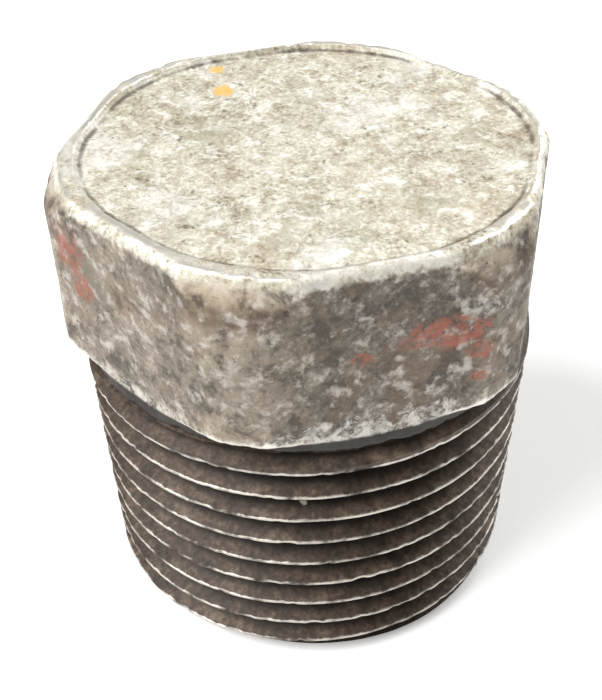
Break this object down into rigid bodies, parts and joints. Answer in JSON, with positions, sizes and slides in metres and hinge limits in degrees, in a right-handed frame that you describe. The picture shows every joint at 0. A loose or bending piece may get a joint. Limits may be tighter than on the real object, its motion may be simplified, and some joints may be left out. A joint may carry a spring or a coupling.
{
  "type": "hex head pipe plug",
  "caption": "Solid hexagon-head plug with a male taper pipe thread, which screws into a threaded port to close it.",
  "frame": {"origin": "centre of the shank's small end face, which the plug stands on", "axes": "+Z along the thread axis towards the head; +Y and -Y square to two flats of the hexagon"},
  "size_m": [0.0286, 0.0268, 0.0282],
  "materials": {
    "forged_steel": "as-forged scale, worn bright along the rim and edges, with traces of old paint",
    "thread_steel": "turned and threaded, dull brown with bright worn crests"
  },
  "bodies": {
    "root": {"hex_head": "forged_steel", "threaded_shank": "thread_steel"}
  },
  "joints": []
}
